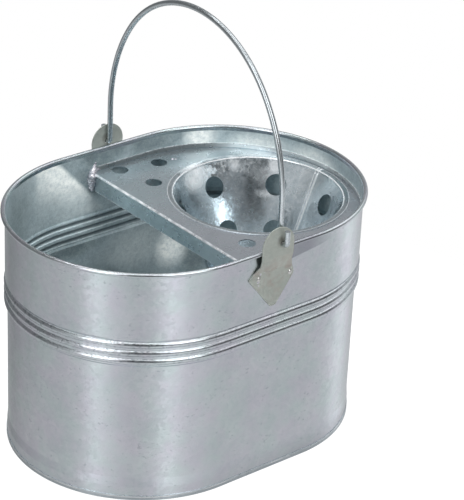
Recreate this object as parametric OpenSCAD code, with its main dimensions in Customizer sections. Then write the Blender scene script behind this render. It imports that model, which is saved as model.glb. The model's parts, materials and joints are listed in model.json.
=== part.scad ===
// Galvanised oval mop bucket with a half cover, a wringer cone and a wire bail.
// Millimetres, +Z up, origin in the middle of the base on the floor.
// X runs along the oval, with the wringer at +X and the open water end at -X.

/* [Body] */
// Distance between the centres of the two round ends
end_spacing = 98; // [84:1:120]
// Radius of the wall above the swages, to the middle of the sheet
wall_r = 125.6; // [122:0.2:132]
// Height of the bucket to the top of the rim
bucket_h = 233; // [222:1:250]
// Thickness of the wall and base sheet
sheet_t = 0.6; // [0.5:0.05:0.9]
// How much the wall is drawn in below the swages
waist_step = 2.2; // [1.6:0.1:3]
// Extra taper of the lower wall from the swages to the foot
lower_taper = 0.4; // [0:0.1:1.5]
// Diameter of the wire inside the rolled rim
rim_wire_d = 3.2; // [2.6:0.1:4]

/* [Swages] */
// Height of the middle swage above the floor
swage_z = 152.3; // [120:0.5:165]
// Spacing of the three swages
swage_pitch = 8.2; // [7.6:0.1:10]
// Width of one swage along the wall
swage_w = 5.6; // [4.4:0.1:6.2]
// How far a swage stands out of the wall
swage_out = 1.7; // [1:0.1:2.1]

/* [Foot] */
// Height of the widened foot band
foot_h = 13; // [11.6:0.2:20]
// How far the foot band steps out of the lower wall
foot_step = 0.7; // [0.4:0.1:1.5]
// Height of the slope above the foot band
foot_blend = 9; // [3:0.5:14]
// Height of the folded hem round the bottom edge
hem_h = 4; // [3:0.1:6]
// Height of the base sheet's top above the floor
base_rise = 10; // [7:0.2:11]

/* [Half cover] */
// Depth of the cover's top below the rim
cover_drop = 23; // [14:0.5:32]
// Thickness of the cover and cone sheet
cover_t = 0.8; // [0.6:0.05:1.2]
// Distance from the cone's mouth to the cover's straight edge
cover_lip = 20.4; // [16:0.2:40]
// Height of the cover's upturned flange along the wall
flange_h = 5; // [3:0.5:8]
// Height of the folded skirt under the straight edge
skirt_h = 17.5; // [12:0.5:26]
// Height of the folded-back hem inside the skirt
skirt_hem = 5; // [3:0.5:8]
// Diameter of the drain holes in the cover
drain_d = 16; // [10:0.5:18]

/* [Wringer cone] */
// Radius of the cone's mouth, where its bent edge meets the flat flange on the cover
mouth_r = 82.4; // [70:0.2:84]
// Width of that flange
mouth_flange = 3.6; // [2:0.2:5]
// Gap between the flange and the wall at the round end
mouth_margin = 2.3; // [1.5:0.1:12]
// Depth of the cone below the cover
cone_depth = 98; // [90:1:120]
// Inner radius of the cone at its floor
cone_floor_r = 36; // [32:0.5:46]
// Outer radius of the bend round the mouth
lip_r = 2.4; // [1.6:0.1:2.8]
// Diameter of the holes in the cone wall
wringer_hole_d = 21; // [14:0.5:23]
// Holes in each of the two rows
wringer_holes = 7; // [5:1:7]
// Depth of the upper row of holes below the cover
upper_row = 22.5; // [18:0.5:26]
// Depth of the lower row of holes below the cover
lower_row = 63; // [56:0.5:68]
// Diameter of the holes in the cone floor
floor_hole_d = 11; // [8:0.5:12]

/* [Bail and ears] */
// Position of the bail along the oval
bail_x = 4.8; // [-6:0.2:7]
// Diameter of the bail wire
bail_d = 5.2; // [4.2:0.1:5.4]
// Height of the hinge above the rim
hinge_rise = 3.5; // [3.2:0.1:6]
// Straight length of each leg above the hinge
leg_h = 38; // [20:1:60]
// How much taller the arch is than a half circle on its legs
arch_lift = 12.5; // [6:0.5:20]
// Distance between the two arms of each hook
hook_w = 9.8; // [9.4:0.2:13]
// Height of the hook's end above the hinge
hook_h = 14; // [8:0.5:20]
// Thickness of the ears
ear_t = 1.2; // [1:0.1:1.6]
// Radius of an ear's round head
ear_r = 18; // [14:0.5:22]
// Height of the ear's top above the hinge
ear_top = 17; // [14:0.5:22]
// Distance from an ear's middle to its pointed corner
ear_corner = 29.4; // [26:0.2:36]
// Distance from an ear's middle to its rounded corner
ear_back = 23; // [21.6:0.2:28]
// Depth of the ear's lower tip below the rim
ear_depth = 58.5; // [54:0.5:60]
// Depth of the pointed corner below the rim
ear_corner_drop = 25.8; // [22:0.2:28]
// Depth of the rounded corner below the rim
ear_back_drop = 31; // [28:0.2:33]
// Depth of the neck below the rim, where the head meets the flared foot
ear_neck_drop = 15; // [13:0.5:17]
// Depth of the upper end of the ear's step past the rim
ear_step_top = 8; // [6:0.5:11]
// Height of that step
ear_step_h = 14; // [8:0.5:15]
// How far the front ear's middle sits from the hinge, along the oval
front_ear_shift = -5; // [-7:0.5:7]
// How far the rear ear's middle sits from the hinge, along the oval
rear_ear_shift = 0; // [-7:0.5:7]
// Distance between the two rivets of an ear
rivet_gap = 36; // [30:0.5:40]
// Depth of the rivets below the rim
rivet_drop = 28.2; // [25:0.2:31]
// How much lower the rivet at an ear's rounded corner sits
rivet_slant = 3; // [0:0.5:4]
// Diameter of a rivet's shank
rivet_d = 3.2; // [2.6:0.1:3.6]
// Diameter of a rivet's head
rivet_head_d = 5; // [4:0.1:6]

/* [Hidden] */

big_fn = 128;               // smoothness of the oval's ends
small_fn = 48;              // smoothness of wires, holes and beads
seat = 0.05;                // gap between sheets that are pressed together
end_x = end_spacing / 2;
wall_in = wall_r - sheet_t / 2;
wall_out = wall_r + sheet_t / 2;

// Rolled rim: the sheet curls outward round a wire
curl_in = rim_wire_d / 2;
curl_out = curl_in + sheet_t;
curl_x = wall_r + (curl_in + curl_out) / 2;
curl_z = bucket_h - curl_out;
curl_gap = 55;              // angle left open where the curl's edge ends by the wall

// Swages and lower wall
band_r = wall_r - waist_step / 3;
low_r = wall_r - waist_step;
foot_r = low_r - lower_taper + foot_step;
band_half = swage_pitch + swage_w / 2 + 1;
band_blend = 2;             // height of the steps at both ends of the swage band
swage_arc = (swage_w * swage_w / 4 + swage_out * swage_out) / (2 * swage_out);

// Base pan and its hem round the wall's lower edge
wall_foot_z = sheet_t + seat;
pan_flange_r = foot_r - sheet_t - seat;
pan_hem_r = foot_r + sheet_t + seat;

// Half cover and cone
cover_z = bucket_h - cover_drop;
cover_r = wall_in - 2 * seat;
cone_x = end_x + wall_in - mouth_margin - mouth_flange - mouth_r;
cover_edge = cone_x - mouth_r - cover_lip;
lip_in = mouth_r - lip_r;
lip_z = cover_z + seat + cover_t - lip_r;
cone_slope = (lip_in - cone_floor_r) / (cone_depth + lip_z - cover_z);
cone_tilt = atan(cone_slope);
cone_wall = cover_t / cos(cone_tilt);
cone_bottom = cover_z - cone_depth;
skirt_bend = 2;             // outer radius of the bend above the skirt
rear_drains = [[26, 10.5], [67, 18], [36, 50.5]];   // from the straight edge, from the wall
front_drains = [[24, 12.5], [65, 21], [29.5, 52]];
upper_turn = 35.3;          // angle of the first hole of the upper row
lower_turn = 30;            // angle of the first hole of the lower row
seam_turn = 4;              // angle where the cone's lap seam starts
seam_span = 13;             // angle covered by the lap
seam_fold = 2.4;            // angle covered by the folded lock
seam_out = 0.7;             // how far the lap stands inside the cone
seam_end = 3;               // distance of the lap from the mouth and from the floor
floor_ring = 0.6;           // radius of the ring of floor holes, as a share of the floor
floor_holes = 6;
floor_hem = 4;              // height of the floor's flange round the cone

// Ears and bail
hinge_z = bucket_h + hinge_rise;
ear_shifts = [rear_ear_shift, -front_ear_shift];
ear_in = wall_out + seat;
ear_head_in = curl_x + curl_out + 2 * seat;
ear_head_out = ear_head_in + ear_t;
ear_head_z = hinge_z + ear_top - ear_r;
ear_neck_z = bucket_h - ear_neck_drop;
ear_corner_r = 1.6;         // rounding of the pointed corner
ear_back_r = 6;             // rounding of the other corner
ear_neck = 0.985;           // width of the neck as a share of the round head
ear_tip_half = 3;           // half width of the ear's lower tip
ear_step_z = bucket_h - ear_step_top - ear_step_h;
rivet_z = bucket_h - rivet_drop;
rivet_r = rivet_d / 2;
bend_r = 3;                 // centre-line radius of the hook's bends
hole_play = 0.35;           // play of the wire in the ear
leg_y = ear_head_in - bail_d / 2 - 1;
arm_y = leg_y + hook_w;
arch_z = hinge_z + leg_h;
arch_unit = arch_lift / 2;  // the arch's centres are 3, 4 and 5 of these apart
arch_side_r = leg_y + 4 * arch_unit;
arch_top_r = leg_y - arch_unit;
arch_turn = atan2(3, 4);

zinc = [0.66, 0.69, 0.73];
dull_zinc = [0.56, 0.59, 0.63];
ear_zinc = [0.66, 0.68, 0.62];
weld_grey = [0.78, 0.78, 0.82];

// ---------- sheet outlines ----------

function unit(v) = v / norm(v);
function left_of(v) = [-v[1], v[0]];
function run(p, i) = unit(p[min(i + 1, len(p) - 1)] - p[min(i, len(p) - 2)]);
function miter(p, i) =
    let (a = left_of(run(p, max(i - 1, 0))), b = left_of(run(p, i)), m = unit(a + b))
    m / (m * a);

// Outline of a sheet of thickness t along the middle line p
function sheet(p, t) = concat(
    [for (i = [0 : len(p) - 1]) p[i] + miter(p, i) * t / 2],
    [for (i = [len(p) - 1 : -1 : 0]) p[i] - miter(p, i) * t / 2]);

// Sweeps a profile (x = distance from the end's centre, y = height) round the oval
module oval_sweep() {
    for (side = [1, -1])
        translate([side * end_x, 0, 0])
            rotate_extrude(angle = 180, start = -90 * side, $fn = big_fn)
                children();
    for (flip = [0, 1])
        mirror([0, flip, 0])
            rotate([90, 0, 90])
                linear_extrude(height = end_spacing, center = true)
                    children();
}

// Flat oval of radius r at its ends
module oval(r) {
    for (side = [1, -1])
        translate([side * end_x, 0])
            circle(r, $fn = big_fn);
    square([end_spacing, 2 * r], center = true);
}

// ---------- bucket ----------

// One outward half-round swage, centred on the band's middle line
module swage() {
    intersection() {
        translate([swage_out - swage_arc, 0])
            difference() {
                circle(swage_arc + sheet_t / 2, $fn = small_fn);
                circle(swage_arc - sheet_t / 2, $fn = small_fn);
            }
        translate([-sheet_t / 2, -swage_pitch])
            square([swage_pitch, 2 * swage_pitch]);
    }
}

module wall_profile() {
    half = swage_w / 2;
    first = swage_z - swage_pitch;
    last = swage_z + swage_pitch;
    polygon(sheet([[foot_r, wall_foot_z],
                   [foot_r, foot_h],
                   [low_r - lower_taper, foot_h + foot_blend],
                   [low_r, swage_z - band_half - band_blend],
                   [band_r, swage_z - band_half],
                   [band_r, first - half]], sheet_t));
    for (z = [first, swage_z])
        translate([band_r - sheet_t / 2, z + half])
            square([sheet_t, swage_pitch - swage_w]);
    for (z = [first, swage_z, last])
        translate([band_r, z])
            swage();
    polygon(sheet([[band_r, last + half],
                   [band_r, swage_z + band_half],
                   [wall_r, swage_z + band_half + band_blend],
                   [wall_r, curl_z]], sheet_t));
    translate([curl_x, curl_z])
        difference() {
            circle(curl_out, $fn = small_fn);
            circle(curl_in, $fn = small_fn);
            polygon([[0, 0],
                     [-2 * curl_out, 0],
                     [-2 * curl_out, -2 * curl_out * tan(curl_gap)]]);
        }
}

// Sets what is made for the rear ear, round its hinge, at the rear (0) or the front (1)
module at_ear(place) {
    translate([bail_x, 0, 0])
        rotate([0, 0, 180 * place])
            children();
}

module ear_rivet_place(shift, side) {
    translate([shift + side * rivet_gap / 2, 0, rivet_z + side * rivet_slant / 2])
        rotate([-90, 0, 0])
            children();
}

module rivet_places() {
    for (place = [0, 1], side = [-1, 1])
        at_ear(place)
            ear_rivet_place(ear_shifts[place], side)
                children();
}

module body_wall() {
    color(zinc)
        difference() {
            oval_sweep() wall_profile();
            rivet_places()
                translate([0, 0, wall_in - sheet_t])
                    cylinder(h = 3 * sheet_t, r = rivet_r + seat, $fn = small_fn);
        }
}

module rim_wire() {
    color(dull_zinc)
        oval_sweep()
            translate([curl_x, curl_z])
                circle(curl_in - seat, $fn = small_fn);
}

// Base sheet with its flange inside the foot and its hem folded up outside
module base_pan() {
    color(dull_zinc) {
        translate([0, 0, base_rise - sheet_t])
            linear_extrude(height = sheet_t)
                oval(pan_flange_r);
        oval_sweep()
            polygon(sheet([[pan_flange_r, base_rise],
                           [pan_flange_r, sheet_t / 2],
                           [pan_hem_r, sheet_t / 2],
                           [pan_hem_r, hem_h]], sheet_t));
    }
}

// ---------- half cover ----------

// The bent straight edge of the cover, with its skirt and folded-back hem
module skirt_profile() {
    drop = skirt_h - skirt_bend;
    difference() {
        circle(skirt_bend, $fn = small_fn);
        circle(skirt_bend - cover_t, $fn = small_fn);
        translate([-2 * skirt_bend, -4 * skirt_bend])
            square(4 * skirt_bend);
        translate([0, -2 * skirt_bend])
            square(4 * skirt_bend);
    }
    translate([-skirt_bend, -drop])
        square([cover_t, drop]);
    translate([-skirt_bend, -drop])
        square([2 * cover_t, skirt_hem]);
}

module drains(spots) {
    for (spot = spots)
        translate([cover_edge + spot[0], cover_r - spot[1], cover_z - 2 * cover_t])
            cylinder(h = 4 * cover_t, d = drain_d, $fn = small_fn);
}

module wringer_plate() {
    color(dull_zinc)
        difference() {
            union() {
                intersection() {
                    union() {
                        translate([0, 0, cover_z - cover_t])
                            linear_extrude(height = cover_t)
                                oval(cover_r);
                        oval_sweep()
                            translate([cover_r - cover_t, cover_z - cover_t])
                                square([cover_t, cover_t + flange_h]);
                    }
                    translate([cover_edge + skirt_bend, -2 * cover_r, 0])
                        cube([4 * cover_r, 4 * cover_r, 2 * bucket_h]);
                }
                translate([cover_edge + skirt_bend, 0, cover_z - skirt_bend])
                    rotate([90, 0, 0])
                        linear_extrude(height = 2 * cover_r, center = true)
                            skirt_profile();
            }
            translate([cone_x, 0, cover_z - 2 * cover_t])
                cylinder(h = 4 * cover_t, r = mouth_r + seat, $fn = big_fn);
            drains(rear_drains);
            mirror([0, 1, 0])
                drains(front_drains);
        }
}

// Runs of weld in the two corners between the skirt and the wall: each drop's height from the
// cover's top, its radius and how far it has run along the wall
weld_drops = [[12, 1.2, 0], [10.2, 1.5, 0], [7.8, 1.4, 0.2], [5.4, 1.8, 0], [2.8, 2.6, 0.5],
              [-0.4, 3, 1.4], [-3.6, 2.8, 2.6], [-6.4, 3, 2.2], [-9.4, 2.5, 2.8],
              [-12.2, 2, 1.6], [-14.4, 1.5, 1.2], [-16.4, 1.2, 1], [-18.2, 1.5, 1.2]];

module corner_welds() {
    color(weld_grey)
        for (flip = [0, 1])
            mirror([0, flip, 0])
                for (drop = weld_drops)
                    translate([cover_edge - drop[1] - drop[2] - seat,
                               wall_in - drop[1] - seat,
                               cover_z + drop[0]])
                        sphere(drop[1], $fn = small_fn);
}

// ---------- wringer cone ----------

// Inner radius of the cone at a depth below the cover
function cone_r(depth) = lip_in - cone_slope * (depth + lip_z - cover_z);

module cone_profile() {
    polygon([[lip_in, lip_z],
             [cone_floor_r, cone_bottom],
             [cone_floor_r + cone_wall, cone_bottom],
             [lip_in + cone_wall, lip_z]]);
    translate([mouth_r, lip_z])
        intersection() {
            difference() {
                circle(lip_r, $fn = small_fn);
                circle(lip_r - cover_t, $fn = small_fn);
            }
            translate([-2 * lip_r, 0])
                square(2 * lip_r);
        }
    translate([mouth_r, cover_z + seat])
        square([mouth_flange, cover_t]);
}

// A strip along the inside of the cone wall that stands out by rise
module cone_strip(start, span, rise) {
    sunk = cone_wall / 2;
    rotate([0, 0, start])
        rotate_extrude(angle = span, $fn = big_fn)
            polygon([[cone_r(seam_end) - rise, cover_z - seam_end],
                     [cone_r(cone_depth - seam_end) - rise, cone_bottom + seam_end],
                     [cone_r(cone_depth - seam_end) + sunk, cone_bottom + seam_end],
                     [cone_r(seam_end) + sunk, cover_z - seam_end]]);
}

module hole_row(depth, turn) {
    for (i = [0 : wringer_holes - 1])
        rotate([0, 0, turn + i * 360 / wringer_holes])
            translate([cone_r(depth), 0, cover_z - depth])
                rotate([0, 90 + cone_tilt, 0])
                    cylinder(h = 20 * cover_t, d = wringer_hole_d, center = true, $fn = small_fn);
}

module wringer_cone() {
    color(zinc)
        translate([cone_x, 0, 0])
            difference() {
                union() {
                    rotate_extrude($fn = big_fn)
                        cone_profile();
                    cone_strip(seam_turn, seam_span, seam_out);
                    cone_strip(seam_turn, seam_fold, 2 * seam_out);
                }
                hole_row(upper_row, upper_turn);
                hole_row(lower_row, lower_turn);
            }
}

// Perforated disc under the cone, with a flange turned up round it
module cone_floor() {
    top = cone_bottom - seat;
    inner = cone_floor_r + cone_wall + 2 * seat;
    color(dull_zinc)
        translate([cone_x, 0, 0])
            difference() {
                rotate_extrude($fn = big_fn)
                    polygon([[0, top - cover_t],
                             [inner + cover_t, top - cover_t],
                             [inner + cover_t + cone_slope * floor_hem, top + floor_hem],
                             [inner + cone_slope * floor_hem, top + floor_hem],
                             [inner, top],
                             [0, top]]);
                translate([0, 0, top - 2 * cover_t]) {
                    cylinder(h = 4 * cover_t, d = floor_hole_d, $fn = small_fn);
                    for (i = [0 : floor_holes - 1])
                        rotate([0, 0, i * 360 / floor_holes])
                            translate([floor_ring * cone_floor_r, 0, 0])
                                cylinder(h = 4 * cover_t, d = floor_hole_d, $fn = small_fn);
                }
            }
}

// ---------- ears ----------

// Points along an arc round a centre
function arc(centre, radius, from, to, steps) =
    [for (i = [0 : steps])
        let (turn = from + (to - from) * i / steps)
        centre + radius * [cos(turn), sin(turn)]];

// One side of the ear's foot from the neck round the corner to the tip, as distances from its
// middle line and heights
function ear_half(reach, drop, round_r) =
    let (neck = [ear_neck * ear_r, ear_neck_z],
         corner = [reach, bucket_h - drop],
         tip = [ear_tip_half, bucket_h - ear_depth],
         up = unit(neck - corner),
         down = unit(tip - corner),
         middle = corner + unit(up + down) * round_r / sin(acos(up * down) / 2))
    concat([[neck[0], ear_head_z], neck],
           arc(middle, round_r, atan2(-up[0], up[1]), atan2(down[0], -down[1]), 6),
           [tip]);

// The ear's foot seen from outside, with its pointed corner on the left
module ear_foot() {
    right = ear_half(ear_back, ear_back_drop, ear_back_r);
    left = ear_half(ear_corner, ear_corner_drop, ear_corner_r);
    polygon(concat(right, [for (i = [len(left) - 1 : -1 : 0]) [-left[i][0], left[i][1]]]));
}

// Stands an outline of the ear up against the wall, thick enough to cut the sheet from
module ear_block(shift) {
    translate([shift, 0, 0])
        rotate([90, 0, 180])
            linear_extrude(height = 2 * wall_r)
                children();
}

// The ear's side view: flat on the wall below, stepped out past the rim above
module ear_side() {
    low = ear_in + ear_t / 2;
    high = ear_head_in + ear_t / 2;
    polygon(sheet([[low, bucket_h - 2 * ear_depth],
                   [low, ear_step_z],
                   [high, ear_step_z + ear_step_h],
                   [high, 2 * bucket_h]], ear_t));
}

module ear(shift) {
    color(ear_zinc)
        difference() {
            intersection() {
                union() {
                    ear_block(shift) ear_foot();
                    ear_block(shift)
                        translate([0, ear_head_z])
                            circle(ear_r, $fn = big_fn);
                }
                rotate([90, 0, 90])
                    linear_extrude(height = 4 * ear_corner, center = true)
                        ear_side();
            }
            translate([0, ear_head_in - ear_t, hinge_z])
                rotate([-90, 0, 0])
                    cylinder(h = 3 * ear_t, r = bail_d / 2 + hole_play, $fn = small_fn);
            for (side = [-1, 1])
                ear_rivet_place(shift, side)
                    translate([0, 0, ear_in - ear_t])
                        cylinder(h = 3 * ear_t, r = rivet_r + seat, $fn = small_fn);
        }
}

module ear_rear() {
    at_ear(0) ear(ear_shifts[0]);
}

module ear_front() {
    at_ear(1) ear(ear_shifts[1]);
}

// Round outer head and shank of one rivet, along +Z from the bucket's middle. Its tail is set
// flush with the wall's inner face, where the cover's skirt is welded on.
module rivet() {
    head_z = ear_in + ear_t + seat;
    dome = rivet_head_d * 0.6;
    rise = rivet_head_d * 0.32;
    translate([0, 0, wall_in])
        cylinder(h = head_z - wall_in + rise / 2, r = rivet_r, $fn = small_fn);
    intersection() {
        translate([0, 0, head_z + rise - dome])
            sphere(dome, $fn = small_fn);
        translate([0, 0, head_z])
            cylinder(h = dome, d = rivet_head_d, $fn = small_fn);
    }
}

module ear_rivets() {
    color(ear_zinc)
        rivet_places()
            rivet();
}

// ---------- bail ----------

// Part of a ring of wire in the plane of the bail, round the point [y, z]
module wire_bend(centre, radius, from, to) {
    translate([0, centre[0], centre[1]])
        rotate([90, 0, 90])
            rotate_extrude(angle = to - from, start = from, $fn = big_fn)
                translate([radius, 0])
                    circle(d = bail_d, $fn = small_fn);
}

module wire_up(y, from, to) {
    translate([0, y, from])
        cylinder(h = to - from, d = bail_d, $fn = small_fn);
}

module half_bail() {
    bend_z = hinge_z + bend_r;
    wire_up(arm_y, bend_z, hinge_z + hook_h);
    wire_bend([arm_y - bend_r, bend_z], bend_r, 270, 360);
    translate([0, leg_y + bend_r, hinge_z])
        rotate([-90, 0, 0])
            cylinder(h = hook_w - 2 * bend_r, d = bail_d, $fn = small_fn);
    wire_bend([leg_y + bend_r, bend_z], bend_r, 180, 270);
    wire_up(leg_y, bend_z, arch_z);
    wire_bend([-4 * arch_unit, arch_z], arch_side_r, 0, arch_turn);
    wire_bend([0, arch_z + 3 * arch_unit], arch_top_r, arch_turn, 90);
}

module bail() {
    color(zinc)
        translate([bail_x, 0, 0])
            for (turn = [0, 180])
                rotate([0, 0, turn])
                    half_bail();
}

body_wall();
rim_wire();
base_pan();
wringer_plate();
wringer_cone();
cone_floor();
corner_welds();
ear_front();
ear_rear();
ear_rivets();
bail();
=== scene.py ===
"""Dresses the galvanised mop bucket: zinc finishes, weld, lights, floor and camera.

Metres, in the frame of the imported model: the origin is in the middle of the base, +X points to the
wringer and +Z up. Heights are counted from the floor. Azimuths and turns are counted from +X
towards +Y.
"""
import json
import math

import bmesh
import bpy
from mathutils import Matrix, Vector

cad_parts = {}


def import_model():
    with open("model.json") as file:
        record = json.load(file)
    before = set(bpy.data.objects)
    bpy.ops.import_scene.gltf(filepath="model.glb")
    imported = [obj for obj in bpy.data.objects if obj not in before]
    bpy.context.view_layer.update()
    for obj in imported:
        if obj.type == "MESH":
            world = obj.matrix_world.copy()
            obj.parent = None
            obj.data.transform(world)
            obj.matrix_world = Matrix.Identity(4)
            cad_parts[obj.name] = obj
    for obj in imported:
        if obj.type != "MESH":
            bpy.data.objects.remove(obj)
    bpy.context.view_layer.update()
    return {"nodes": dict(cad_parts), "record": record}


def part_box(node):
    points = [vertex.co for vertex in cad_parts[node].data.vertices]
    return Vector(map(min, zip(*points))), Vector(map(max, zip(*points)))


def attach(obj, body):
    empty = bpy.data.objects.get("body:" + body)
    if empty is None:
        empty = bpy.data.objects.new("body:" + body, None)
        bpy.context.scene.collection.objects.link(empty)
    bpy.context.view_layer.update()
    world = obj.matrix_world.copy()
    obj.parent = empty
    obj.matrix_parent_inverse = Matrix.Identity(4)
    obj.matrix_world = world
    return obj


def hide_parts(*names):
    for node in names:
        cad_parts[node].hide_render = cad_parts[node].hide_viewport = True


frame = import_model()
nodes = frame["nodes"]

MM = 0.001


# ---------- node graphs ----------

class Graph:
    """A node tree that is filled by add(). The other calls add the nodes that come up often."""

    def __init__(self, tree):
        self.tree = tree
        self.tree.nodes.clear()

    def add(self, kind, inputs=None, **settings):
        node = self.tree.nodes.new(kind)
        for name, value in settings.items():
            setattr(node, name, value)
        for name, value in (inputs or {}).items():
            self.put(node.inputs[name], value)
        return node

    def put(self, socket, value):
        """A socket gets either a constant or the output that feeds it."""
        if isinstance(value, bpy.types.NodeSocket):
            self.tree.links.new(value, socket)
        else:
            socket.default_value = value

    def place(self):
        """Where a point of the piece lies."""
        return self.add("ShaderNodeTexCoord").outputs["Object"]

    def normal(self):
        return self.add("ShaderNodeNewGeometry").outputs["Normal"]

    def axes(self, vector):
        """The X, Y and Z of a vector."""
        return tuple(self.add("ShaderNodeSeparateXYZ", {"Vector": vector}).outputs)

    def math(self, operation, a, b=0.0):
        return self.add("ShaderNodeMath", {0: a, 1: b}, operation=operation).outputs[0]

    def plus(self, a, b):
        return self.math("ADD", a, b)

    def minus(self, a, b):
        return self.math("SUBTRACT", a, b)

    def times(self, first, *others):
        for other in others:
            first = self.math("MULTIPLY", first, other)
        return first

    def most(self, a, b):
        return self.math("MAXIMUM", a, b)

    def above(self, value, limit):
        return self.math("GREATER_THAN", value, limit)

    def below(self, value, limit):
        return self.math("LESS_THAN", value, limit)

    def away(self, value, centre):
        """How far a value lies from a centre, on either side."""
        return self.math("ABSOLUTE", self.minus(value, centre))

    def vector(self, operation, a, b):
        return self.add("ShaderNodeVectorMath", {0: a, 1: b}, operation=operation).outputs[0]

    def length(self, vector):
        return self.add("ShaderNodeVectorMath", {0: vector}, operation="LENGTH").outputs["Value"]

    def ramp(self, value, low, high, to_low=0.0, to_high=1.0):
        """Maps low..high onto to_low..to_high, with the ends held."""
        node = self.add("ShaderNodeMapRange", {
            "Value": value, "From Min": low, "From Max": high, "To Min": to_low, "To Max": to_high})
        return node.outputs["Result"]

    def band(self, value, low, high, soft=0.3 * MM):
        """1 where value lies between low and high, with soft ends."""
        return self.times(self.ramp(value, low - soft, low + soft),
                          self.ramp(value, high - soft, high + soft, 1, 0))

    def mix_colour(self, factor, a, b, blend="MIX"):
        node = self.add("ShaderNodeMix", data_type="RGBA", blend_type=blend)
        for index, value in ((0, factor), (6, a), (7, b)):
            self.put(node.inputs[index], value)
        return node.outputs[2]

    def shades(self, tone, zinc, darkest=0, lightest=1):
        """Zinc from dark to light as the tone rises."""
        return self.mix_colour(self.ramp(tone, darkest, lightest), *zinc)

    def tint(self, colour, by):
        return self.mix_colour(1.0, colour, by, "MULTIPLY")

    def noise(self, place, scale, detail=3.0, rough=0.55):
        node = self.add("ShaderNodeTexNoise", {
            "Vector": place, "Scale": scale, "Detail": detail, "Roughness": rough})
        return node.outputs["Fac"]


def material_graph(name):
    material = bpy.data.materials.new(name)
    material.use_nodes = True
    return material, Graph(material.node_tree)


# ---------- sizes of the bucket ----------

wall_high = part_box("body_wall")[1]
cone_low, cone_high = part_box("wringer_cone")
plate_low, plate_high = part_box("wringer_plate")
hinge = frame["record"]["behaviour"]["joints"][0]["pos_m"]

RIM_Z = wall_high[2]
WALL_Y = wall_high[1] - 1.6 * MM        # the wall's sheet at its widest, inside the rolled rim
CONE_X = (cone_low[0] + cone_high[0]) / 2
CONE_MOUTH = (cone_high[0] - cone_low[0]) / 2
FLANGE_TOP = plate_high[2]
COVER_Z = FLANGE_TOP - 5 * MM           # the cover's flat top
COVER_EDGE = plate_low[0]               # the fold from the cover down to its skirt
SKIRT_FOOT = plate_low[2]
BAIL_X, HINGE_Z = hinge[0], hinge[2]
SWAGES = [(152.3 + step * 8.2) * MM for step in (-1, 0, 1)]     # heights of the three swages
SWAGE_HALF = 2.8 * MM
LAP_TURN, FOLD_TURN, LAP_END = (math.radians(v) for v in (4, 6.4, 17))     # the cone's locked seam


# ---------- colours ----------

# Dark and light zinc of each surface
OUTER_WALL = (0.66, 0.71, 0.75, 1), (0.80, 0.83, 0.87, 1)
INNER_WALL = (0.35, 0.44, 0.475, 1), (0.55, 0.65, 0.675, 1)
BASE = (0.42, 0.47, 0.50, 1), (0.58, 0.63, 0.66, 1)
COVER_TOP = (0.50, 0.545, 0.57, 1), (0.62, 0.665, 0.69, 1)
COVER_SKIRT = (0.42, 0.53, 0.57, 1), (0.62, 0.74, 0.78, 1)
# Painted shade and painted light of the cover's flange
FLANGE_SHADED_TO_LIT = (0.1, 0.12, 0.13, 1), (0.90, 0.95, 0.96, 1)
CONE = (0.58, 0.66, 0.70, 1), (0.83, 0.90, 0.94, 1)
EAR = (0.33, 0.365, 0.335, 1), (0.48, 0.505, 0.465, 1)
WELD = (0.46, 0.46, 0.52, 1), (0.90, 0.88, 0.93, 1)
RIVET = (0.6, 0.6, 0.57, 1), (0.90, 0.90, 0.88, 1)
WIRE = (0.56, 0.61, 0.64, 1), (0.74, 0.79, 0.81, 1)

# Tints that the zinc is multiplied by
NO_TINT = (1, 1, 1, 1)
WALL_PINK, WALL_GREEN = (1.0, 0.955, 0.99, 1), (0.95, 1.0, 0.97, 1)
FAR_SIDE_TINT = (0.965, 1.0, 0.99, 1)
COVER_WARM, COVER_TEAL = (0.99, 0.975, 1.01, 1), (0.92, 1.0, 1.02, 1)

# What lies on the zinc, with painted light and painted shade among it
FOOT_PAINTED_SHADE = (0.36, 0.39, 0.42, 1)
WALL_FLECK = (0.36, 0.41, 0.44, 1)
# Painted shade under the rim beside the front ear
SHADE_BAND_COLOUR = (0.30, 0.31, 0.36, 1)
WALL_PAINTED_SHADE = (0.12, 0.16, 0.17, 1)
WALL_PAINTED_LIGHT = (0.96, 1.0, 0.97, 1)
GROOVE_SHADE = (0.08, 0.10, 0.11, 1)
HEM_HIGHLIGHT = (0.95, 0.96, 0.98, 1)
COVER_SHADE = (0.20, 0.22, 0.24, 1)
SKIRT_PAINTED_SHADE, SKIRT_PAINTED_LIGHT = (0.24, 0.30, 0.33, 1), (0.88, 0.96, 1.0, 1)
COVER_WORN_HIGHLIGHT = (0.93, 0.95, 0.97, 1)
CONE_PAINTED_SHADE = (0.24, 0.29, 0.33, 1)
CONE_HIGHLIGHT = (0.95, 0.98, 1.0, 1)
EAR_SMUDGE = (0.36, 0.31, 0.28, 1)
HINGE_DARK = (0.12, 0.11, 0.09, 1)


# ---------- marks, painted light and painted shade ---

# Each patch: centre, reach along X, Y and Z, and strength
# Patches of painted light on the inner wall
WALL_LIGHT_PATCHES = [((0.077, 0.121, 0.105), (0.023, 0.05, 0.026), 1.0),
               ((0.034, 0.125, 0.115), (0.05, 0.05, 0.03), 0.35),
               ((0.104, 0.112, 0.222), (0.020, 0.020, 0.018), 0.9),
               ((0.150, 0.075, 0.216), (0.040, 0.040, 0.014), 0.6),
               ((0.172, 0.020, 0.216), (0.020, 0.036, 0.014), 0.6)]
# Patches of painted shade on the inner wall
WALL_SHADE_PATCHES = [((-0.120, 0.100, 0.190), (0.040, 0.04, 0.05), 0.6),
               ((0.102, 0.112, 0.092), (0.020, 0.04, 0.03), 0.7),
               ((-0.018, 0.125, 0.224), (0.010, 0.05, 0.016), 0.8),
               ((-0.010, 0.125, 0.207), (0.030, 0.05, 0.028), 0.75),
               ((-0.005, 0.125, 0.226), (0.05, 0.05, 0.014), 0.6),
               ((0.055, 0.125, 0.226), (0.045, 0.05, 0.018), 0.6),
               ((-0.049, 0.125, 0.136), (0.05, 0.05, 0.014), 0.8)]
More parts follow.
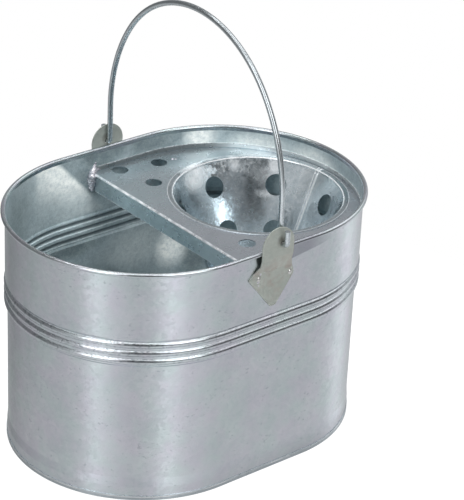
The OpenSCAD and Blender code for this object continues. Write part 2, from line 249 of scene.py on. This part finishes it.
# Patches of painted highlight on the cone
CONE_LIGHT_PATCHES = [((0.068, 0.076, 0.203), (0.020, 0.020, 0.018), 0.95),
               ((0.116, 0.072, 0.206), (0.008, 0.010, 0.012), 0.85),
               ((0.147, 0.049, 0.204), (0.008, 0.010, 0.013), 0.85),
               ((0.134, 0.046, 0.179), (0.012, 0.012, 0.005), 0.5),
               ((0.130, 0.065, 0.203), (0.016, 0.014, 0.012), 0.2),
               ((0.137, 0.052, 0.196), (0.016, 0.016, 0.014), 0.3)]
# Patches of painted shade on the cone
CONE_SHADE_PATCHES = [((0.115, 0.060, 0.185), (0.022, 0.03, 0.022), 0.5),
               ((0.105, 0.055, 0.165), (0.025, 0.03, 0.022), 0.4)]
CONE_SPANGLE = [((0.115, 0.070, 0.206), (0.045, 0.03, 0.018), 1.0)]
# Painted shade at the far end of the cover's top
COVER_SHADE_PATCH = [((0.074, 0.108, COVER_Z), (0.042, 0.018, 0.018), 0.5)]
EAR_DARK_PATCHES = [((BAIL_X - 2 * MM, side * 0.1325, HINGE_Z + 3 * MM), (6 * MM, 6 * MM, 7 * MM), 0.75)
             for side in (-1, 1)]

# The painted light patch on the far wall beside the weld: X and height of a point on its slanting
# edge, and the direction from that edge into the patch
CORNER_EDGE = (-0.052, 0.227)
CORNER_INWARD = (-0.745, -0.667)


# ---------- zinc finishes ----------

PATCH_HEART = 0.35                  # share of a patch's reach that has its full strength
RELIEF_DEPTH = 0.15 * MM
GRAIN_WAVE = 1.6                    # how far the grains' borders wave, in grain sizes
WALL_OUTWARDS = (0.35, 1, 0)        # turns a place on the oval wall into the way out of it


def grains(g, place, size):
    """Frozen zinc grains with wavy borders: a random colour for each grain."""
    wave = g.add("ShaderNodeTexNoise", {"Vector": place, "Scale": 0.8 / size, "Detail": 3.0})
    bent = g.vector("MULTIPLY", wave.outputs["Color"], (GRAIN_WAVE * size,) * 3)
    spot = g.vector("ADD", place, bent)
    return g.add("ShaderNodeTexVoronoi", {"Vector": spot, "Scale": 1 / size}).outputs["Color"]


def grain_roughness(g, grain, smooth, rough):
    """Each grain has its own roughness, between smooth and rough."""
    share = g.add("ShaderNodeSeparateColor", {"Color": grain}).outputs[1]
    return g.ramp(share, 0, 1, smooth, rough)


def leaning(g, grain, lean, height, relief):
    """The surface normal: each grain leans its own way, with a fine relief on top."""
    normal = g.normal()
    offset = g.vector("ADD", grain, (-0.5, -0.5, -0.5))
    step = g.add("ShaderNodeVectorMath", {0: offset, "Scale": lean}, operation="SCALE").outputs[0]
    leant = g.add("ShaderNodeVectorMath", {0: g.vector("ADD", normal, step)},
                  operation="NORMALIZE").outputs[0]
    return g.add("ShaderNodeBump", {"Height": height, "Strength": relief,
                                    "Distance": RELIEF_DEPTH, "Normal": leant}).outputs["Normal"]


def zinc_tone(g, place, grain, size, contrast, frost):
    """0 for dark to 1 for light, from grains, soft clouds and a fine frost; and that frost."""
    tone = g.add("ShaderNodeSeparateColor", {"Color": grain}).outputs[0]
    cloud = g.noise(place, 0.16 / size, 4.0)
    fine = g.noise(place, 2.2 / size, 5.0, 0.7)
    total = g.plus(g.ramp(cloud, 0.3, 0.7, 0.25, 0.75), g.times(g.minus(tone, 0.5), contrast))
    return g.plus(total, g.times(g.minus(fine, 0.5), frost)), fine


def shader_of(g, colour, roughness, metal, normal, rolled=0.0):
    """Joins the values to the surface. Rolled sheet draws its gloss out round the bucket."""
    shader = g.add("ShaderNodeBsdfPrincipled", {
        "Base Color": colour, "Metallic": metal, "Roughness": roughness,
        "Normal": normal, "Anisotropic": rolled})
    if rolled:
        around = g.add("ShaderNodeTangent", direction_type="RADIAL", axis="Z")
        g.put(shader.inputs["Tangent"], around.outputs["Tangent"])
    g.add("ShaderNodeOutputMaterial", {"Surface": shader.outputs[0]})


def zinc(name, colours, size=5 * MM, contrast=0.5, frost=0.5, lean=0.05, rough=(0.25, 0.38),
         relief=0.15, metal=1.0):
    """Hot-dip galvanised metal."""
    material, g = material_graph(name)
    place = g.place()
    grain = grains(g, place, size)
    tone, fine = zinc_tone(g, place, grain, size, contrast, frost)
    shader_of(g, g.shades(tone, colours), grain_roughness(g, grain, *rough), metal,
              leaning(g, grain, lean, fine, relief))
    return material


def patches(g, place, spots):
    """The strength of each patch at its heart, fading to 0 at its reach."""
    total = 0.0
    for centre, reach, strength in spots:
        off = g.length(g.vector("DIVIDE", g.vector("SUBTRACT", place, centre), reach))
        total = g.most(total, g.ramp(off, PATCH_HEART, 1.0, strength, 0.0))
    return total


def outer_colour(g, place, tone):
    """Faintly clouded zinc with tints of pink and green, greener towards the far side, and painted
    shade just above the foot.
    """
    x, y, height = g.axes(place)
    colour = g.shades(tone, OUTER_WALL)
    drift = g.ramp(g.noise(place, 38, 3.0), 0.35, 0.65)
    colour = g.tint(colour, g.mix_colour(drift, WALL_PINK, WALL_GREEN))
    far_side = g.ramp(y, 20 * MM, 60 * MM)
    colour = g.tint(colour, g.mix_colour(far_side, NO_TINT, FAR_SIDE_TINT))
    # painted shade just above the foot, strongest towards +X
    foot_shade = g.times(g.ramp(height, 5 * MM, 20 * MM, 0.4, 0.0), g.ramp(x, -110 * MM, 40 * MM, 0.2, 1.0))
    return g.mix_colour(foot_shade, colour, FOOT_PAINTED_SHADE)


def outer_flecks(g, place, height):
    """Small dark flecks all over, and pits where the swages' crests were rubbed."""
    rolled = g.add("ShaderNodeMapping", {"Vector": place, "Scale": (1, 1, 1.6)}).outputs[0]
    limit = g.ramp(g.noise(place, 30, 2.0), 0.4, 0.6, 0.67, 0.60)
    fleck = g.ramp(g.minus(g.noise(rolled, 240, 3.0, 0.65), limit), 0.0, 0.08, 0.0, 0.4)
    crest = 0.0
    for swage in SWAGES:
        crest = g.most(crest, g.ramp(g.away(height, swage), SWAGE_HALF, 1.3 * SWAGE_HALF, 1.0, 0.0))
    pitted = g.ramp(g.noise(place, 420, 2.0, 0.6), 0.56, 0.66, 0.0, 0.7)
    return g.most(fleck, g.times(crest, pitted))


def painted_shade_band(g, place):
    """A band of painted shade under the rim beside the front ear, whose lower edge rises towards +X.
    """
    x, y, height = g.axes(place)
    lower_edge = g.ramp(x, 20 * MM, 66 * MM, 214.5 * MM, 220.5 * MM)
    over_edge = g.ramp(g.minus(height, lower_edge), 0, 1 * MM)
    near_side = g.times(g.ramp(x, 8 * MM, 12 * MM), g.below(y, 0.0))
    return g.times(over_edge, g.ramp(x, 40 * MM, 70 * MM, 0.6, 0.0), near_side)


def outer_wall(g, place):
    """Smooth outer sheet: its colour, grains, frost and roughness."""
    grain = grains(g, place, 4 * MM)
    tone, fine = zinc_tone(g, place, grain, 5 * MM, 0.3, 0.3)
    height = g.axes(place)[2]
    colour = outer_colour(g, place, tone)
    colour = g.mix_colour(outer_flecks(g, place, height), colour, WALL_FLECK)
    # painted shade under the rim beside the front ear
    colour = g.mix_colour(painted_shade_band(g, place), colour, SHADE_BAND_COLOUR)
    return colour, grain, fine, grain_roughness(g, grain, 0.17, 0.24)


def painted_light_corner(g, place):
    """A painted light patch on the far wall, cut off by a slanting line beside the weld."""
    x, y, height = g.axes(place)
    depth = g.plus(g.times(g.minus(x, CORNER_EDGE[0]), CORNER_INWARD[0]),
                   g.times(g.minus(height, CORNER_EDGE[1]), CORNER_INWARD[1]))
    return g.times(g.ramp(depth, -1 * MM, 3 * MM),                  # crisp at the slanting edge
                   g.ramp(depth, 14 * MM, 42 * MM, 1.0, 0.3),       # fading away from it
                   g.ramp(height, 180 * MM, 206 * MM, 0.3, 1.0),
                   g.ramp(x, -87 * MM, -81 * MM, 0.3, 1.0),
                   g.ramp(x, -160 * MM, -100 * MM),
                   g.ramp(height, 166 * MM, 170 * MM),              # none down at the swages
                   g.above(y, 0.0))


def inner_wall(g, place):
    """Dull, frosty zinc with patches of painted light and painted shade, and painted shade in the
    swages' grooves.
    """
    grain = grains(g, place, 2.2 * MM)
    tone, _ = zinc_tone(g, place, grain, 2.4 * MM, 0.35, 1.5)
    height = g.axes(place)[2]
    colour = g.shades(tone, INNER_WALL, 0.15, 0.85)
    # painted shade in patches on the inner wall
    painted_shade = g.times(patches(g, place, WALL_SHADE_PATCHES), g.ramp(tone, 0.1, 0.9, 1.0, 0.7))
    colour = g.mix_colour(painted_shade, colour, WALL_PAINTED_SHADE)
    # painted light: bright patches on the inner wall, which also take metal away
    painted_light = g.most(patches(g, place, WALL_LIGHT_PATCHES), painted_light_corner(g, place))
    painted_light = g.times(painted_light, g.ramp(g.noise(place, 260, 4.0, 0.7), 0.36, 0.6, 0.5, 1.0))
    colour = g.mix_colour(painted_light, colour, WALL_PAINTED_LIGHT)
    # painted shade in the grooves of the swages
    for swage in SWAGES:
        groove = g.ramp(g.away(height, swage), 0.4 * SWAGE_HALF, 0.85 * SWAGE_HALF, 0.75, 0.0)
        colour = g.mix_colour(groove, colour, GROOVE_SHADE)
    return colour, painted_light


def wall_zinc():
    """The wall: smooth outside and frosty inside, and both look alike round the rolled rim."""
    material, g = material_graph("wall_zinc")
    place = g.place()
    height = g.axes(place)[2]
    outer, grain, fine, roughness = outer_wall(g, place)
    inner, painted_light = inner_wall(g, place)
    outward = g.vector("MULTIPLY", place, WALL_OUTWARDS)
    facing = g.add("ShaderNodeVectorMath", {0: g.normal(), 1: outward},
                   operation="DOT_PRODUCT").outputs["Value"]
    inside = g.times(g.below(facing, 0.0), g.below(height, RIM_Z - 5 * MM))
    relief = g.times(g.ramp(height, RIM_Z - 8 * MM, RIM_Z - 5 * MM, 0.30, 0.04),
                     g.ramp(fine, 0, 1, 0.8, 1.2))
    metal = g.minus(1.0, g.times(inside, g.ramp(painted_light, 0, 1, 0.5, 0.9)))
    shader_of(g, g.mix_colour(inside, outer, inner), g.plus(roughness, g.times(inside, 0.12)), metal,
              leaning(g, grain, 0.03, fine, relief), rolled=0.5)
    return material


def base_zinc():
    """The base: frosty and dull inside the bucket, with a painted highlight line along its hem
    outside.
    """
    material, g = material_graph("base_zinc")
    place = g.place()
    height = g.axes(place)[2]
    grain = grains(g, place, 4 * MM)
    tone, fine = zinc_tone(g, place, grain, 4 * MM, 0.3, 0.3)
    colour = g.shades(tone, BASE)
    upward = g.above(g.axes(g.normal())[2], 0.5)
    # painted highlight along the hem
    highlight_line = g.times(g.band(height, 2.6 * MM, 3.6 * MM),
                   g.ramp(g.noise(place, 60, 3.0), 0.35, 0.6, 0.2, 0.9), g.minus(1.0, upward))
    colour = g.mix_colour(highlight_line, colour, HEM_HIGHLIGHT)
    shader_of(g, colour, grain_roughness(g, grain, 0.26, 0.38), g.ramp(upward, 0, 1, 1.0, 0.6),
              leaning(g, grain, 0.02, fine, 0.05))
    return material


def cover_top(g, place, tone):
    """Soft grey with a drift of teal, a patch of painted shade at the far end, and an upturned flange
    with painted light and painted shade that change round it.
    """
    x, y, height = g.axes(place)
    colour = g.shades(tone, COVER_TOP)
    drift = g.plus(g.ramp(g.noise(place, 26, 3.0), 0.4, 0.62, -0.3, 0.3), g.ramp(y, -20 * MM, 70 * MM))
    colour = g.tint(colour, g.mix_colour(drift, COVER_WARM, COVER_TEAL))
    colour = g.mix_colour(patches(g, place, COVER_SHADE_PATCH), colour, COVER_SHADE)
    turn = g.math("ARCTAN2", y, g.minus(x, CONE_X))
    # painted light and shade round the flange, by which way it faces
    flange_light = g.times(g.ramp(turn, math.radians(62), math.radians(84), 0.95, 0.48),
                   g.ramp(turn, math.radians(-30), math.radians(20), 0.6, 1.0))
    flange = g.above(height, COVER_Z + 0.8 * MM)
    return g.mix_colour(flange, colour, g.mix_colour(flange_light, *FLANGE_SHADED_TO_LIT))


def cover_skirt(g, place, tone):
    """Teal, with painted light towards the near end and painted shade at the far end."""
    y = g.axes(place)[1]
    colour = g.shades(tone, COVER_SKIRT)
    # painted shade at the far end, painted light at the near end
    colour = g.mix_colour(g.ramp(y, 70 * MM, 100 * MM, 0.0, 0.9), colour, SKIRT_PAINTED_SHADE)
    return g.mix_colour(g.ramp(y, -115 * MM, -20 * MM, 1.0, 0.0), colour, SKIRT_PAINTED_LIGHT)


def cover_wear_and_highlight(g, place):
    """Worn edges with painted highlights: the fold at the skirt, the skirt's hem and the top of the
    flange.
    """
    x, _, height = g.axes(place)
    fold = g.times(g.band(x, COVER_EDGE - 1 * MM, COVER_EDGE + 1.8 * MM),
                   g.band(height, COVER_Z - 1.4 * MM, COVER_Z + 1 * MM))
    hem = g.times(g.ramp(height, SKIRT_FOOT, SKIRT_FOOT + 1 * MM, 0.8, 0),
                  g.below(x, COVER_EDGE + 1 * MM))
    flange = g.ramp(height, FLANGE_TOP - 1.2 * MM, FLANGE_TOP - 0.6 * MM, 0, 0.9)
    worn_highlight = g.most(g.most(fold, hem), flange)
    return g.times(worn_highlight, g.ramp(g.noise(place, 120, 3.0), 0.35, 0.65, 0.2, 0.85))


def cover_zinc():
    """The cover: soft grey on top, teal on the skirt, with worn edges that carry painted highlights.
    """
    material, g = material_graph("cover_zinc")
    place = g.place()
    x, _, height = g.axes(place)
    grain = grains(g, place, 3 * MM)
    tone, fine = zinc_tone(g, place, grain, 5 * MM, 0.2, 0.3)
    hanging = g.times(g.below(x, COVER_EDGE + 2.2 * MM),
                      g.ramp(height, COVER_Z - 2 * MM, COVER_Z - 1 * MM, 1, 0))
    colour = g.mix_colour(hanging, cover_top(g, place, tone), cover_skirt(g, place, tone))
    worn_highlight = cover_wear_and_highlight(g, place)
    colour = g.mix_colour(worn_highlight, colour, COVER_WORN_HIGHLIGHT)
    shader_of(g, colour, grain_roughness(g, grain, 0.26, 0.36), g.ramp(worn_highlight, 0, 1, 0.85, 0.35),
              leaning(g, grain, 0.02, fine, 0.04))
    return material


def cone_seam(g, axis):
    """The locked lap seam: the lap itself, and thin painted highlights along its three folds."""
    x, y, _ = g.axes(axis)
    turn = g.math("ARCTAN2", y, x)
    lap = g.times(g.above(turn, LAP_TURN), g.below(turn, LAP_END))
    fold_highlights = 0.0
    for edge, strength in ((LAP_TURN, 1.0), (FOLD_TURN, 0.8), (LAP_END, 0.35)):
        highlight_line = g.ramp(g.away(turn, edge), math.radians(0.3), math.radians(0.6), strength, 0.0)
        fold_highlights = g.most(fold_highlights, highlight_line)
    return lap, fold_highlights


def cone_lip_highlight(g, axis):
    """Painted highlights round the inner and the outer edge of the cone's rolled lip."""
    height = g.axes(axis)[2]
    radius = g.length(g.vector("MULTIPLY", axis, (1, 1, 0)))
    inner = g.times(g.band(radius, CONE_MOUTH - 5.6 * MM, CONE_MOUTH - 4.8 * MM), 0.8)
    outer = g.ramp(radius, CONE_MOUTH - 0.9 * MM, CONE_MOUTH - 0.5 * MM, 0, 0.4)
    return g.times(g.most(inner, outer), g.above(height, COVER_Z - 0.5 * MM))


def cone_zinc():
    """The cone: bright and spangled, with a paler lap where the sheet's ends are locked together,
    patches of painted highlight and of painted shade.
    """
    material, g = material_graph("cone_zinc")
    place = g.place()
    grain = grains(g, place, 3 * MM)
    tone, fine = zinc_tone(g, place, grain, 3.4 * MM, 0.4, 0.9)
    colour = g.shades(tone, CONE, 0.1, 0.9)
    # painted shade in patches on the cone
    painted_shade = g.times(patches(g, place, CONE_SHADE_PATCHES), g.ramp(tone, 0, 1, 0.9, 0.5))
    colour = g.mix_colour(painted_shade, colour, CONE_PAINTED_SHADE)
    spangled = patches(g, place, CONE_SPANGLE)
    frosty = g.times(spangled, g.ramp(g.noise(place, 330, 3.0, 0.7), 0.5, 0.62, 0.0, 0.5))
    axis = g.vector("SUBTRACT", place, (CONE_X, 0, 0))
    lap, fold_highlights = cone_seam(g, axis)
    # painted highlights, with the spangle's frost and the paler lap
    frost_and_highlight = g.most(patches(g, place, CONE_LIGHT_PATCHES), g.times(lap, 0.12))
    frost_and_highlight = g.most(g.times(frost_and_highlight, g.ramp(tone, 0.2, 0.8, 0.6, 1.0)), frosty)
    seam_highlight = g.times(fold_highlights, g.ramp(fine, 0.3, 0.6, 0.6, 1.0))
    frost_and_highlight = g.most(frost_and_highlight, g.most(cone_lip_highlight(g, axis), seam_highlight))
    colour = g.mix_colour(frost_and_highlight, colour, CONE_HIGHLIGHT)
    shader_of(g, colour, grain_roughness(g, grain, 0.18, 0.28), g.ramp(frost_and_highlight, 0, 1, 1.0, 0.25),
              leaning(g, grain, g.ramp(spangled, 0, 1, 0.04, 0.22), fine, 0.15))
    return material


def ear_zinc():
    """The ears: matt greenish plate with brown smudges and a dark patch round the hinge hole."""
    material, g = material_graph("ear_zinc")
    place = g.place()
    height = g.axes(place)[2]
    grain = grains(g, place, 2.5 * MM)
    tone, fine = zinc_tone(g, place, grain, 4 * MM, 0.25, 0.5)
    colour = g.shades(tone, EAR)
    smudge = g.times(g.ramp(g.noise(place, 95, 3.0, 0.6), 0.48, 0.64, 0.0, 0.7),
                     g.band(height, 185 * MM, 222 * MM, 12 * MM))
    colour = g.mix_colour(smudge, colour, EAR_SMUDGE)
    colour = g.mix_colour(patches(g, place, EAR_DARK_PATCHES), colour, HINGE_DARK)
    shader_of(g, colour, grain_roughness(g, grain, 0.3, 0.42), 0.45,
              leaning(g, grain, 0.03, fine, 0.15))
    return material


finishes = {
    "wall_zinc": wall_zinc(),
    "base_zinc": base_zinc(),
    "cover_zinc": cover_zinc(),
    "cone_zinc": cone_zinc(),
    "weld_metal": zinc("weld_metal", WELD, size=2 * MM, contrast=0.8, frost=0.8, lean=0.10,
                       rough=(0.2, 0.4), relief=0.5, metal=0.8),
    "ear_zinc": ear_zinc(),
    "rivet_zinc": zinc("rivet_zinc", RIVET, size=1.5 * MM),
    "wire_zinc": zinc("wire_zinc", WIRE, size=3 * MM, contrast=0.3, frost=0.5, lean=0.01,
                      rough=(0.22, 0.28), relief=0.03),
}

for part in frame["record"]["subparts"]:
    mesh = nodes[part["node"]].data
    mesh.materials.clear()
    mesh.materials.append(finishes[part["material_slot"]])


# ---------- weld ----------

# Lumps of the weld in the corner of cover and wall: how far out from the cover's edge and in from
# the wall, height and radius, in millimetres
WELD_LUMPS = [(-1.2, 5.2, 193.6, 2.1), (-1.6, 4.8, 196.4, 3.1), (-1.2, 5.2, 199.6, 3.9),
              (-1.6, 5.0, 203.2, 4.4), (-0.8, 5.2, 206.8, 4.4), (0.4, 4.6, 210.4, 3.8),
              (2.2, 3.4, 213.2, 2.8), (3.6, 2.0, 216.0, 2.1), (4.8, 1.4, 218.8, 1.8),
              (5.0, 3.2, 211.4, 2.3), (7.4, 2.8, 211.4, 1.9), (9.2, 1.4, 214.6, 1.3),
              (9.8, 2.6, 210.8, 1.4)]
WELD_SIDES = ((1, 1.0), (-1, 0.45))     # far and near side of the cover, and how full the weld is

# Lumps of the tack mark behind the drain holes: X, Y and radius
TACK_LUMPS = [(66 * MM, 106 * MM, 1.8 * MM), (68.5 * MM, 104.5 * MM, 1.4 * MM)]
TACK_SUNK = 0.7 * MM                    # how deep the tack mark sits in the cover
MELT_RIPPLE = 3.2 * MM                  # from one ripple of the melted metal to the next


def lumps(name, spheres, voxel, wobble):
    """One body of melted metal from overlapping spheres, each given by centre and radius."""
    mesh = bpy.data.meshes.new(name)
    shape = bmesh.new()
    for centre, radius in spheres:
        bmesh.ops.create_icosphere(shape, subdivisions=3, radius=radius,
                                   matrix=Matrix.Translation(centre))
    shape.to_mesh(mesh)
    shape.free()
    piece = bpy.data.objects.new(name, mesh)
    bpy.context.scene.collection.objects.link(piece)
    melt = piece.modifiers.new("melt", "REMESH")
    melt.mode = "VOXEL"
    melt.voxel_size = voxel
    ripple = bpy.data.textures.new(name + "_ripple", "CLOUDS")
    ripple.noise_scale = MELT_RIPPLE
    push = piece.modifiers.new("ripple", "DISPLACE")
    push.texture = ripple
    push.strength = wobble
    push.mid_level = 0.55
    soften = piece.modifiers.new("soften", "SMOOTH")
    soften.iterations = 2
    graph = bpy.context.evaluated_depsgraph_get()
    piece.data = bpy.data.meshes.new_from_object(piece.evaluated_get(graph))
    piece.modifiers.clear()
    for face in piece.data.polygons:
        face.use_smooth = True
    return piece


def welds():
    """The lumpy weld beads in both corners of the cover, and one tack mark on its top."""
    beads = []
    for side, fullness in WELD_SIDES:
        for out, inwards, height, radius in WELD_LUMPS:
            y = side * (WALL_Y - inwards * fullness * MM)
            beads.append((Vector((COVER_EDGE + out * MM, y, height * MM)), radius * fullness * MM))
    tacks = [(Vector((x, y, COVER_Z - TACK_SUNK)), radius) for x, y, radius in TACK_LUMPS]
    bead = lumps("corner_weld_beads", beads, voxel=0.45 * MM, wobble=1.4 * MM)
    tack = lumps("tack_mark", tacks, voxel=0.3 * MM, wobble=0.5 * MM)
    for piece in (bead, tack):
        piece.data.materials.clear()
        piece.data.materials.append(finishes["weld_metal"])
        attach(piece, "bucket")
    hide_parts("corner_welds")


# ---------- room ----------

FLOOR_SIZE = 30
FLOOR_Z = -0.5 * MM                     # just under the bucket's foot
SHADOW_FADES = (0.25, 0.45)             # distances between which the shadow fades into white

# Brightness of the studio by direction: (azimuth in degrees, brightness).
# The low ring is what the walls mirror, the high one what the swages, rims and cone mirror.
LOW_RING = [(-180, 0.53), (-165, 1.00), (-150, 0.66), (-132, 0.52), (-118, 0.58), (-103, 1.00),
            (-84, 0.66), (-50, 0.53), (-25, 0.60), (-4, 0.90), (25, 0.58), (60, 0.38),
            (90, 0.27), (120, 0.36), (150, 0.45), (180, 0.53)]
HIGH_RING = [(-180, 0.40), (-168, 0.50), (-150, 0.40), (-138, 0.08), (-114, 0.08), (-100, 0.35),
             (-85, 0.35), (-72, 0.12), (-38, 0.10), (-12, 0.50), (22, 0.45), (42, 0.30),
             (75, 0.28), (95, 0.17), (155, 0.17), (172, 0.40)]
RING_TINT = (0.985, 1.0, 1.02)          # the rings are a trace bluer than white
LOW_MEAN, MEAN_SHARE = 0.58, 0.45       # the low ring evens out towards the floor
CEILING = 1.0
# Where one zone of the studio passes into the next, as the Z of the unit direction
EVENING_OUT = (-0.55, -0.49)
LOW_TO_HIGH = (-0.33, -0.19)
HIGH_TO_CEILING = (0.92, 0.96)

LAMP_DISTANCE = 3.0
BEAM_DISTANCE = 3.1
LAMPS_LOOK_AT = Vector((0, 0, 0.15))
CONE_AND_COVER = ["wringer_cone", "wringer_plate"]
WELL = ["body_wall", "base_pan"]

CAMERA_AZIMUTH, CAMERA_ELEVATION, CAMERA_ROLL = 229.8, 27.3, 2.7
CAMERA_DISTANCE = 2.1719
CAMERA_LOOKS_AT = Vector((0.0570, 0.0, 0.1588))
LENS_MM, SENSOR_MM = 165.4, 36


def direction(azimuth, elevation):
    """The unit vector from the bucket towards a place in the studio, given in degrees."""
    a, e = math.radians(azimuth), math.radians(elevation)
    return Vector((math.cos(a) * math.cos(e), math.sin(a) * math.cos(e), math.sin(e)))


def grey(level):
    return (level, level, level, 1)


def floor():
    """A plain pale floor that runs out to the backdrop. Gloss looks through it at the low ring."""
    bpy.ops.mesh.primitive_plane_add(size=FLOOR_SIZE, location=(0, 0, FLOOR_Z))
    ground = bpy.context.object
    ground.name = "studio_floor"
    material, g = material_graph("studio_floor")
    ray = g.add("ShaderNodeLightPath")
    matt = g.add("ShaderNodeBsdfDiffuse", {"Color": grey(0.8)})
    clear = g.add("ShaderNodeBsdfTransparent")
    glow = g.add("ShaderNodeEmission", {"Color": grey(1), "Strength": 0.8})
    soft = g.add("ShaderNodeBsdfDiffuse", {"Color": grey(0.3)})
    shaded = g.add("ShaderNodeAddShader", {0: glow.outputs[0], 1: soft.outputs[0]})
    plain = g.add("ShaderNodeEmission", {"Color": grey(1), "Strength": 1.0})
    white = g.add("ShaderNodeMixShader", {
        0: g.ramp(g.length(g.place()), *SHADOW_FADES), 1: shaded.outputs[0], 2: plain.outputs[0]})
    unseen = g.add("ShaderNodeMixShader", {
        0: ray.outputs["Is Glossy Ray"], 1: matt.outputs[0], 2: clear.outputs[0]})
    seen = g.add("ShaderNodeMixShader", {
        0: ray.outputs["Is Camera Ray"], 1: unseen.outputs[0], 2: white.outputs[0]})
    g.add("ShaderNodeOutputMaterial", {"Surface": seen.outputs[0]})
    ground.data.materials.append(material)


def ring_light(g, angle, ring):
    """A colour ramp round the compass; angle runs from 0 to 1 over -180 to 180 degrees."""
    ramp = g.add("ShaderNodeValToRGB", {"Fac": angle})
    ramp.color_ramp.interpolation = "EASE"
    stops = ramp.color_ramp.elements
    while len(stops) < len(ring):
        stops.new(1.0)
    for stop, (azimuth, light) in zip(stops, ring):
        stop.position = azimuth / 360 + 0.5
        stop.color = (*(light * share for share in RING_TINT), 1)
    return ramp.outputs["Color"]


def world():
    """The studio that the metal mirrors; the camera itself sees plain white."""
    room = bpy.data.worlds.new("studio")
    bpy.context.scene.world = room
    room.use_nodes = True
    g = Graph(room.node_tree)
    ray = g.add("ShaderNodeLightPath")
    facing = g.add("ShaderNodeTexCoord").outputs["Generated"]
    angle = g.add("ShaderNodeTexGradient", {"Vector": facing}, gradient_type="RADIAL").outputs["Fac"]
    up = g.axes(facing)[2]
    even = g.ramp(up, *EVENING_OUT, MEAN_SHARE, 0.0)
    low = g.mix_colour(even, ring_light(g, angle, LOW_RING), grey(LOW_MEAN))
    rings = g.mix_colour(g.ramp(up, *LOW_TO_HIGH), low, ring_light(g, angle, HIGH_RING))
    light = g.mix_colour(g.ramp(up, *HIGH_TO_CEILING), rings, grey(CEILING))
    studio = g.add("ShaderNodeBackground", {"Color": light, "Strength": 1.0})
    white = g.add("ShaderNodeBackground", {"Color": grey(1), "Strength": 1.0})
    seen = g.add("ShaderNodeMixShader", {
        0: ray.outputs["Is Camera Ray"], 1: studio.outputs[0], 2: white.outputs[0]})
    g.add("ShaderNodeOutputWorld", {"Surface": seen.outputs[0]})


def hang(lamp, aim, azimuth, elevation, distance):
    """Hangs a lamp in the given direction from aim, turned so that it looks at aim."""
    hung = bpy.data.objects.new(lamp.name, lamp)
    bpy.context.scene.collection.objects.link(hung)
    out = direction(azimuth, elevation)
    hung.location = aim + out * distance
    hung.rotation_euler = (-out).to_track_quat("-Z", "Y").to_euler()
    return hung


def softbox(name, azimuth, elevation, width, height, glow, mirrored=True, matt=True,
            lit=None, unlit=None):
    """A square light that looks at the bucket and glows with the given brightness.

    Azimuth, elevation, width and height are in degrees, as seen from the bucket. Gloss doesn't
    show a light that isn't mirrored, and matt surfaces don't feel one that isn't matt. It lights
    either all pieces, only those in lit or all but those in unlit.
    """
    lamp = bpy.data.lights.new(name, "AREA")
    lamp.shape = "RECTANGLE"
    lamp.size, lamp.size_y = (2 * LAMP_DISTANCE * math.tan(math.radians(v / 2))
                              for v in (width, height))
    lamp.energy = glow * math.pi * lamp.size * lamp.size_y
    box = hang(lamp, LAMPS_LOOK_AT, azimuth, elevation, LAMP_DISTANCE)
    box.visible_glossy = mirrored
    box.visible_diffuse = matt
    box.visible_camera = False
    if lit or unlit:
        group = bpy.data.collections.new(name + "_pieces")
        for node in lit or unlit:
            group.objects.link(nodes[node])
        if unlit:
            for member in group.collection_objects:
                member.light_linking.link_state = "EXCLUDE"
        box.light_linking.receiver_collection = group


def narrow_beam(name, aim, azimuth, elevation, spread, energy):
    """A beam, spread degrees wide, that reaches under the cover."""
    lamp = bpy.data.lights.new(name, "SPOT")
    lamp.spot_size = math.radians(spread)
    lamp.spot_blend = 1.0
    lamp.shadow_soft_size = 0.05
    lamp.energy = energy
    hang(lamp, aim, azimuth, elevation, BEAM_DISTANCE).visible_glossy = False


def lights():
    softbox("overhead", 0, 89.9, 46, 46, 6.0, mirrored=False)
    softbox("strip_left", 199, 26, 24, 52, 1.7, unlit=CONE_AND_COVER)
    softbox("strip_right", 267, 36, 30, 40, 1.9, unlit=CONE_AND_COVER)
    softbox("wire_low", 230, -14, 50, 24, 0.5, lit=["bail"])
    softbox("cone_side", 145, 16, 80, 22, 0.2, lit=CONE_AND_COVER)
    softbox("cover_sheen", 212, 24, 44, 16, 3.2, lit=["wringer_plate"])
    softbox("cone_streak", 184, 58, 23, 15, 7.0, lit=["wringer_cone"])
    softbox("cone_fill", 226, 46, 34, 16, 0.5, lit=["wringer_cone"])
    softbox("cone_top", 318, 15, 36, 10, 1.2, lit=["wringer_cone"])
    softbox("inside", 275, 58, 24, 24, 11.0, mirrored=False, lit=WELL)
    softbox("inside_low", 208, 32, 14, 14, 16.0, mirrored=False, lit=WELL)
    softbox("rear_ear", 285, 25, 30, 30, 4.0, mirrored=False, lit=["ear_rear"])
    softbox("ceiling_sheen", 0, 89.9, 54, 54, 3.2, matt=False,
            unlit=["wringer_plate", "wringer_cone", "cone_floor", "base_pan"])
    softbox("rim_sheen", 345, 42, 70, 26, 0.7, matt=False, lit=["body_wall", "rim_wire"])
    narrow_beam("under_cover", Vector(WALL_LIGHT_PATCHES[0][0]), 208, 32, 1.7, 480)


def camera():
    back = direction(CAMERA_AZIMUTH, CAMERA_ELEVATION)
    across = Vector((0, 0, 1)).cross(back).normalized()
    turn = Matrix((across, back.cross(across), back)).transposed().to_4x4()
    lens = bpy.data.cameras.new("camera")
    lens.lens = LENS_MM
    lens.sensor_width = SENSOR_MM
    eye = bpy.data.objects.new("camera", lens)
    bpy.context.scene.collection.objects.link(eye)
    eye.matrix_world = (Matrix.Translation(CAMERA_LOOKS_AT + back * CAMERA_DISTANCE) @ turn
                        @ Matrix.Rotation(math.radians(CAMERA_ROLL), 4, "Z"))
    bpy.context.scene.camera = eye


# ---------- the scene ----------

bpy.context.scene.view_settings.view_transform = "Standard"
welds()
camera()
floor()
world()
lights()
